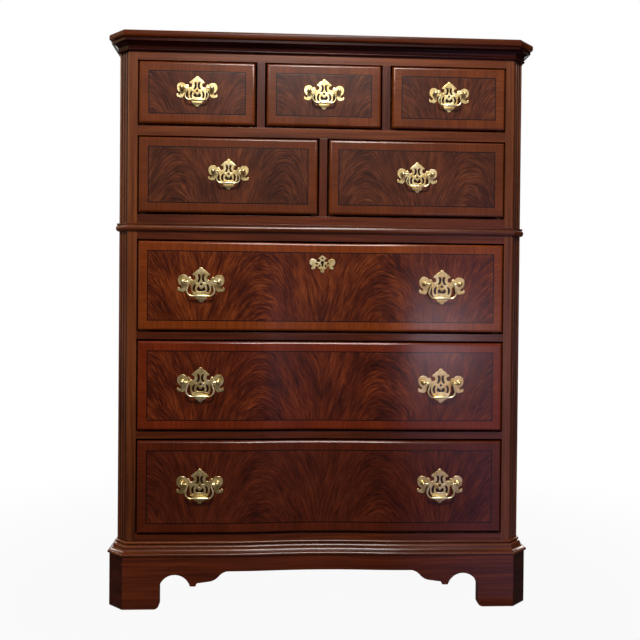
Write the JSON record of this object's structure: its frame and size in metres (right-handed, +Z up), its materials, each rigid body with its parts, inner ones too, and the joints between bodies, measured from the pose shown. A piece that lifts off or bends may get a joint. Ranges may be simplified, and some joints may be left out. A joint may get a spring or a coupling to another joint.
{
  "type": "chest of drawers",
  "caption": "Tall mahogany chest with a softly blocked front, canted fluted corners, graduated sliding drawers, brass bail pulls, moulded top and bracket feet.",
  "frame": {"origin": "middle of the underside of the whole object's box, on the floor", "axes": "+Z up, the drawers face -Y, +X to the viewer's right"},
  "size_m": [0.928, 0.474, 1.2375],
  "materials": {
    "mahogany": "satin lacquer",
    "flame_veneer": "polished veneer",
    "secondary_wood": "bare wood",
    "brass": "aged polish",
    "iron": "dull"
  },
  "bodies": {
    "case": {"left_corner_post": "mahogany", "right_corner_post": "mahogany", "left_side_panel": "mahogany", "right_side_panel": "mahogany", "back_boards": "secondary_wood", "top_rail": "mahogany", "upper_rail": "mahogany", "waist_rail": "mahogany", "lower_rails": "mahogany", "bottom_rail": "mahogany", "drawer_dividers": "mahogany", "drawer_runners": "secondary_wood", "dust_panels": "secondary_wood", "top_board": "mahogany", "cornice_moulding": "mahogany", "waist_moulding": "mahogany", "base_moulding": "mahogany", "front_bracket": "mahogany", "corner_feet": "mahogany", "side_brackets": "mahogany", "rear_brackets": "secondary_wood", "glue_blocks": "secondary_wood"},
    "top_left_drawer": {"top_left_drawer_front": "flame_veneer", "top_left_drawer_box": "secondary_wood", "top_left_pull_mounts": "brass"},
    "top_left_bail": {"top_left_bail": "brass"},
    "top_middle_drawer": {"top_middle_drawer_front": "flame_veneer", "top_middle_drawer_box": "secondary_wood", "top_middle_pull_mounts": "brass"},
    "top_middle_bail": {"top_middle_bail": "brass"},
    "top_right_drawer": {"top_right_drawer_front": "flame_veneer", "top_right_drawer_box": "secondary_wood", "top_right_pull_mounts": "brass"},
    "top_right_bail": {"top_right_bail": "brass"},
    "second_left_drawer": {"second_left_drawer_front": "flame_veneer", "second_left_drawer_box": "secondary_wood", "second_left_pull_mounts": "brass"},
    "second_left_bail": {"second_left_bail": "brass"},
    "second_right_drawer": {"second_right_drawer_front": "flame_veneer", "second_right_drawer_box": "secondary_wood", "second_right_pull_mounts": "brass"},
    "second_right_bail": {"second_right_bail": "brass"},
    "third_drawer": {"third_drawer_front": "flame_veneer", "third_drawer_box": "secondary_wood", "third_pull_mounts": "brass", "escutcheon": "brass", "lock_case": "iron"},
    "third_left_bail": {"third_left_bail": "brass"},
    "third_right_bail": {"third_right_bail": "brass"},
    "fourth_drawer": {"fourth_drawer_front": "flame_veneer", "fourth_drawer_box": "secondary_wood", "fourth_pull_mounts": "brass"},
    "fourth_left_bail": {"fourth_left_bail": "brass"},
    "fourth_right_bail": {"fourth_right_bail": "brass"},
    "bottom_drawer": {"bottom_drawer_front": "flame_veneer", "bottom_drawer_box": "secondary_wood", "bottom_pull_mounts": "brass"},
    "bottom_left_bail": {"bottom_left_bail": "brass"},
    "bottom_right_bail": {"bottom_right_bail": "brass"},
    "lock_bolt": {"lock_bolt": "iron"}
  },
  "joints": [
    {"name": "top_left_drawer_slide", "type": "slide", "parent": "case", "child": "top_left_drawer", "axis": [0, -1, 0], "range_m": [0, 0.3]},
    {"name": "top_left_bail_hinge", "type": "hinge", "parent": "top_left_drawer", "child": "top_left_bail", "pos_m": [-0.27233, -0.23225, 1.11715], "axis": [-1, 0, 0], "range_deg": [0, 95]},
    {"name": "top_middle_drawer_slide", "type": "slide", "parent": "case", "child": "top_middle_drawer", "axis": [0, -1, 0], "range_m": [0, 0.3]},
    {"name": "top_middle_bail_hinge", "type": "hinge", "parent": "top_middle_drawer", "child": "top_middle_bail", "pos_m": [0, -0.23225, 1.11715], "axis": [-1, 0, 0], "range_deg": [0, 95]},
    {"name": "top_right_drawer_slide", "type": "slide", "parent": "case", "child": "top_right_drawer", "axis": [0, -1, 0], "range_m": [0, 0.3]},
    {"name": "top_right_bail_hinge", "type": "hinge", "parent": "top_right_drawer", "child": "top_right_bail", "pos_m": [0.27233, -0.23225, 1.11715], "axis": [-1, 0, 0], "range_deg": [0, 95]},
    {"name": "second_left_drawer_slide", "type": "slide", "parent": "case", "child": "second_left_drawer", "axis": [0, -1, 0], "range_m": [0, 0.3]},
    {"name": "second_left_bail_hinge", "type": "hinge", "parent": "second_left_drawer", "child": "second_left_bail", "pos_m": [-0.20425, -0.23225, 0.9414], "axis": [-1, 0, 0], "range_deg": [0, 95]},
    {"name": "second_right_drawer_slide", "type": "slide", "parent": "case", "child": "second_right_drawer", "axis": [0, -1, 0], "range_m": [0, 0.3]},
    {"name": "second_right_bail_hinge", "type": "hinge", "parent": "second_right_drawer", "child": "second_right_bail", "pos_m": [0.20425, -0.23225, 0.9414], "axis": [-1, 0, 0], "range_deg": [0, 95]},
    {"name": "third_drawer_slide", "type": "slide", "parent": "case", "child": "third_drawer", "axis": [0, -1, 0], "range_m": [0, 0.3]},
    {"name": "third_left_bail_hinge", "type": "hinge", "parent": "third_drawer", "child": "third_left_bail", "pos_m": [-0.261, -0.23225, 0.7043], "axis": [-1, 0, 0], "range_deg": [0, 95]},
    {"name": "third_right_bail_hinge", "type": "hinge", "parent": "third_drawer", "child": "third_right_bail", "pos_m": [0.261, -0.23225, 0.7043], "axis": [-1, 0, 0], "range_deg": [0, 95]},
    {"name": "fourth_drawer_slide", "type": "slide", "parent": "case", "child": "fourth_drawer", "axis": [0, -1, 0], "range_m": [0, 0.3]},
    {"name": "fourth_left_bail_hinge", "type": "hinge", "parent": "fourth_drawer", "child": "fourth_left_bail", "pos_m": [-0.261, -0.23225, 0.4893], "axis": [-1, 0, 0], "range_deg": [0, 95]},
    {"name": "fourth_right_bail_hinge", "type": "hinge", "parent": "fourth_drawer", "child": "fourth_right_bail", "pos_m": [0.261, -0.23225, 0.4893], "axis": [-1, 0, 0], "range_deg": [0, 95]},
    {"name": "bottom_drawer_slide", "type": "slide", "parent": "case", "child": "bottom_drawer", "axis": [0, -1, 0], "range_m": [0, 0.3]},
    {"name": "bottom_left_bail_hinge", "type": "hinge", "parent": "bottom_drawer", "child": "bottom_left_bail", "pos_m": [-0.261, -0.23225, 0.2703], "axis": [-1, 0, 0], "range_deg": [0, 95]},
    {"name": "bottom_right_bail_hinge", "type": "hinge", "parent": "bottom_drawer", "child": "bottom_right_bail", "pos_m": [0.261, -0.23225, 0.2703], "axis": [-1, 0, 0], "range_deg": [0, 95]},
    {"name": "lock_bolt_slide", "type": "slide", "parent": "third_drawer", "child": "lock_bolt", "axis": [0, 0, 1], "range_m": [0, 0.01]}
  ]
}
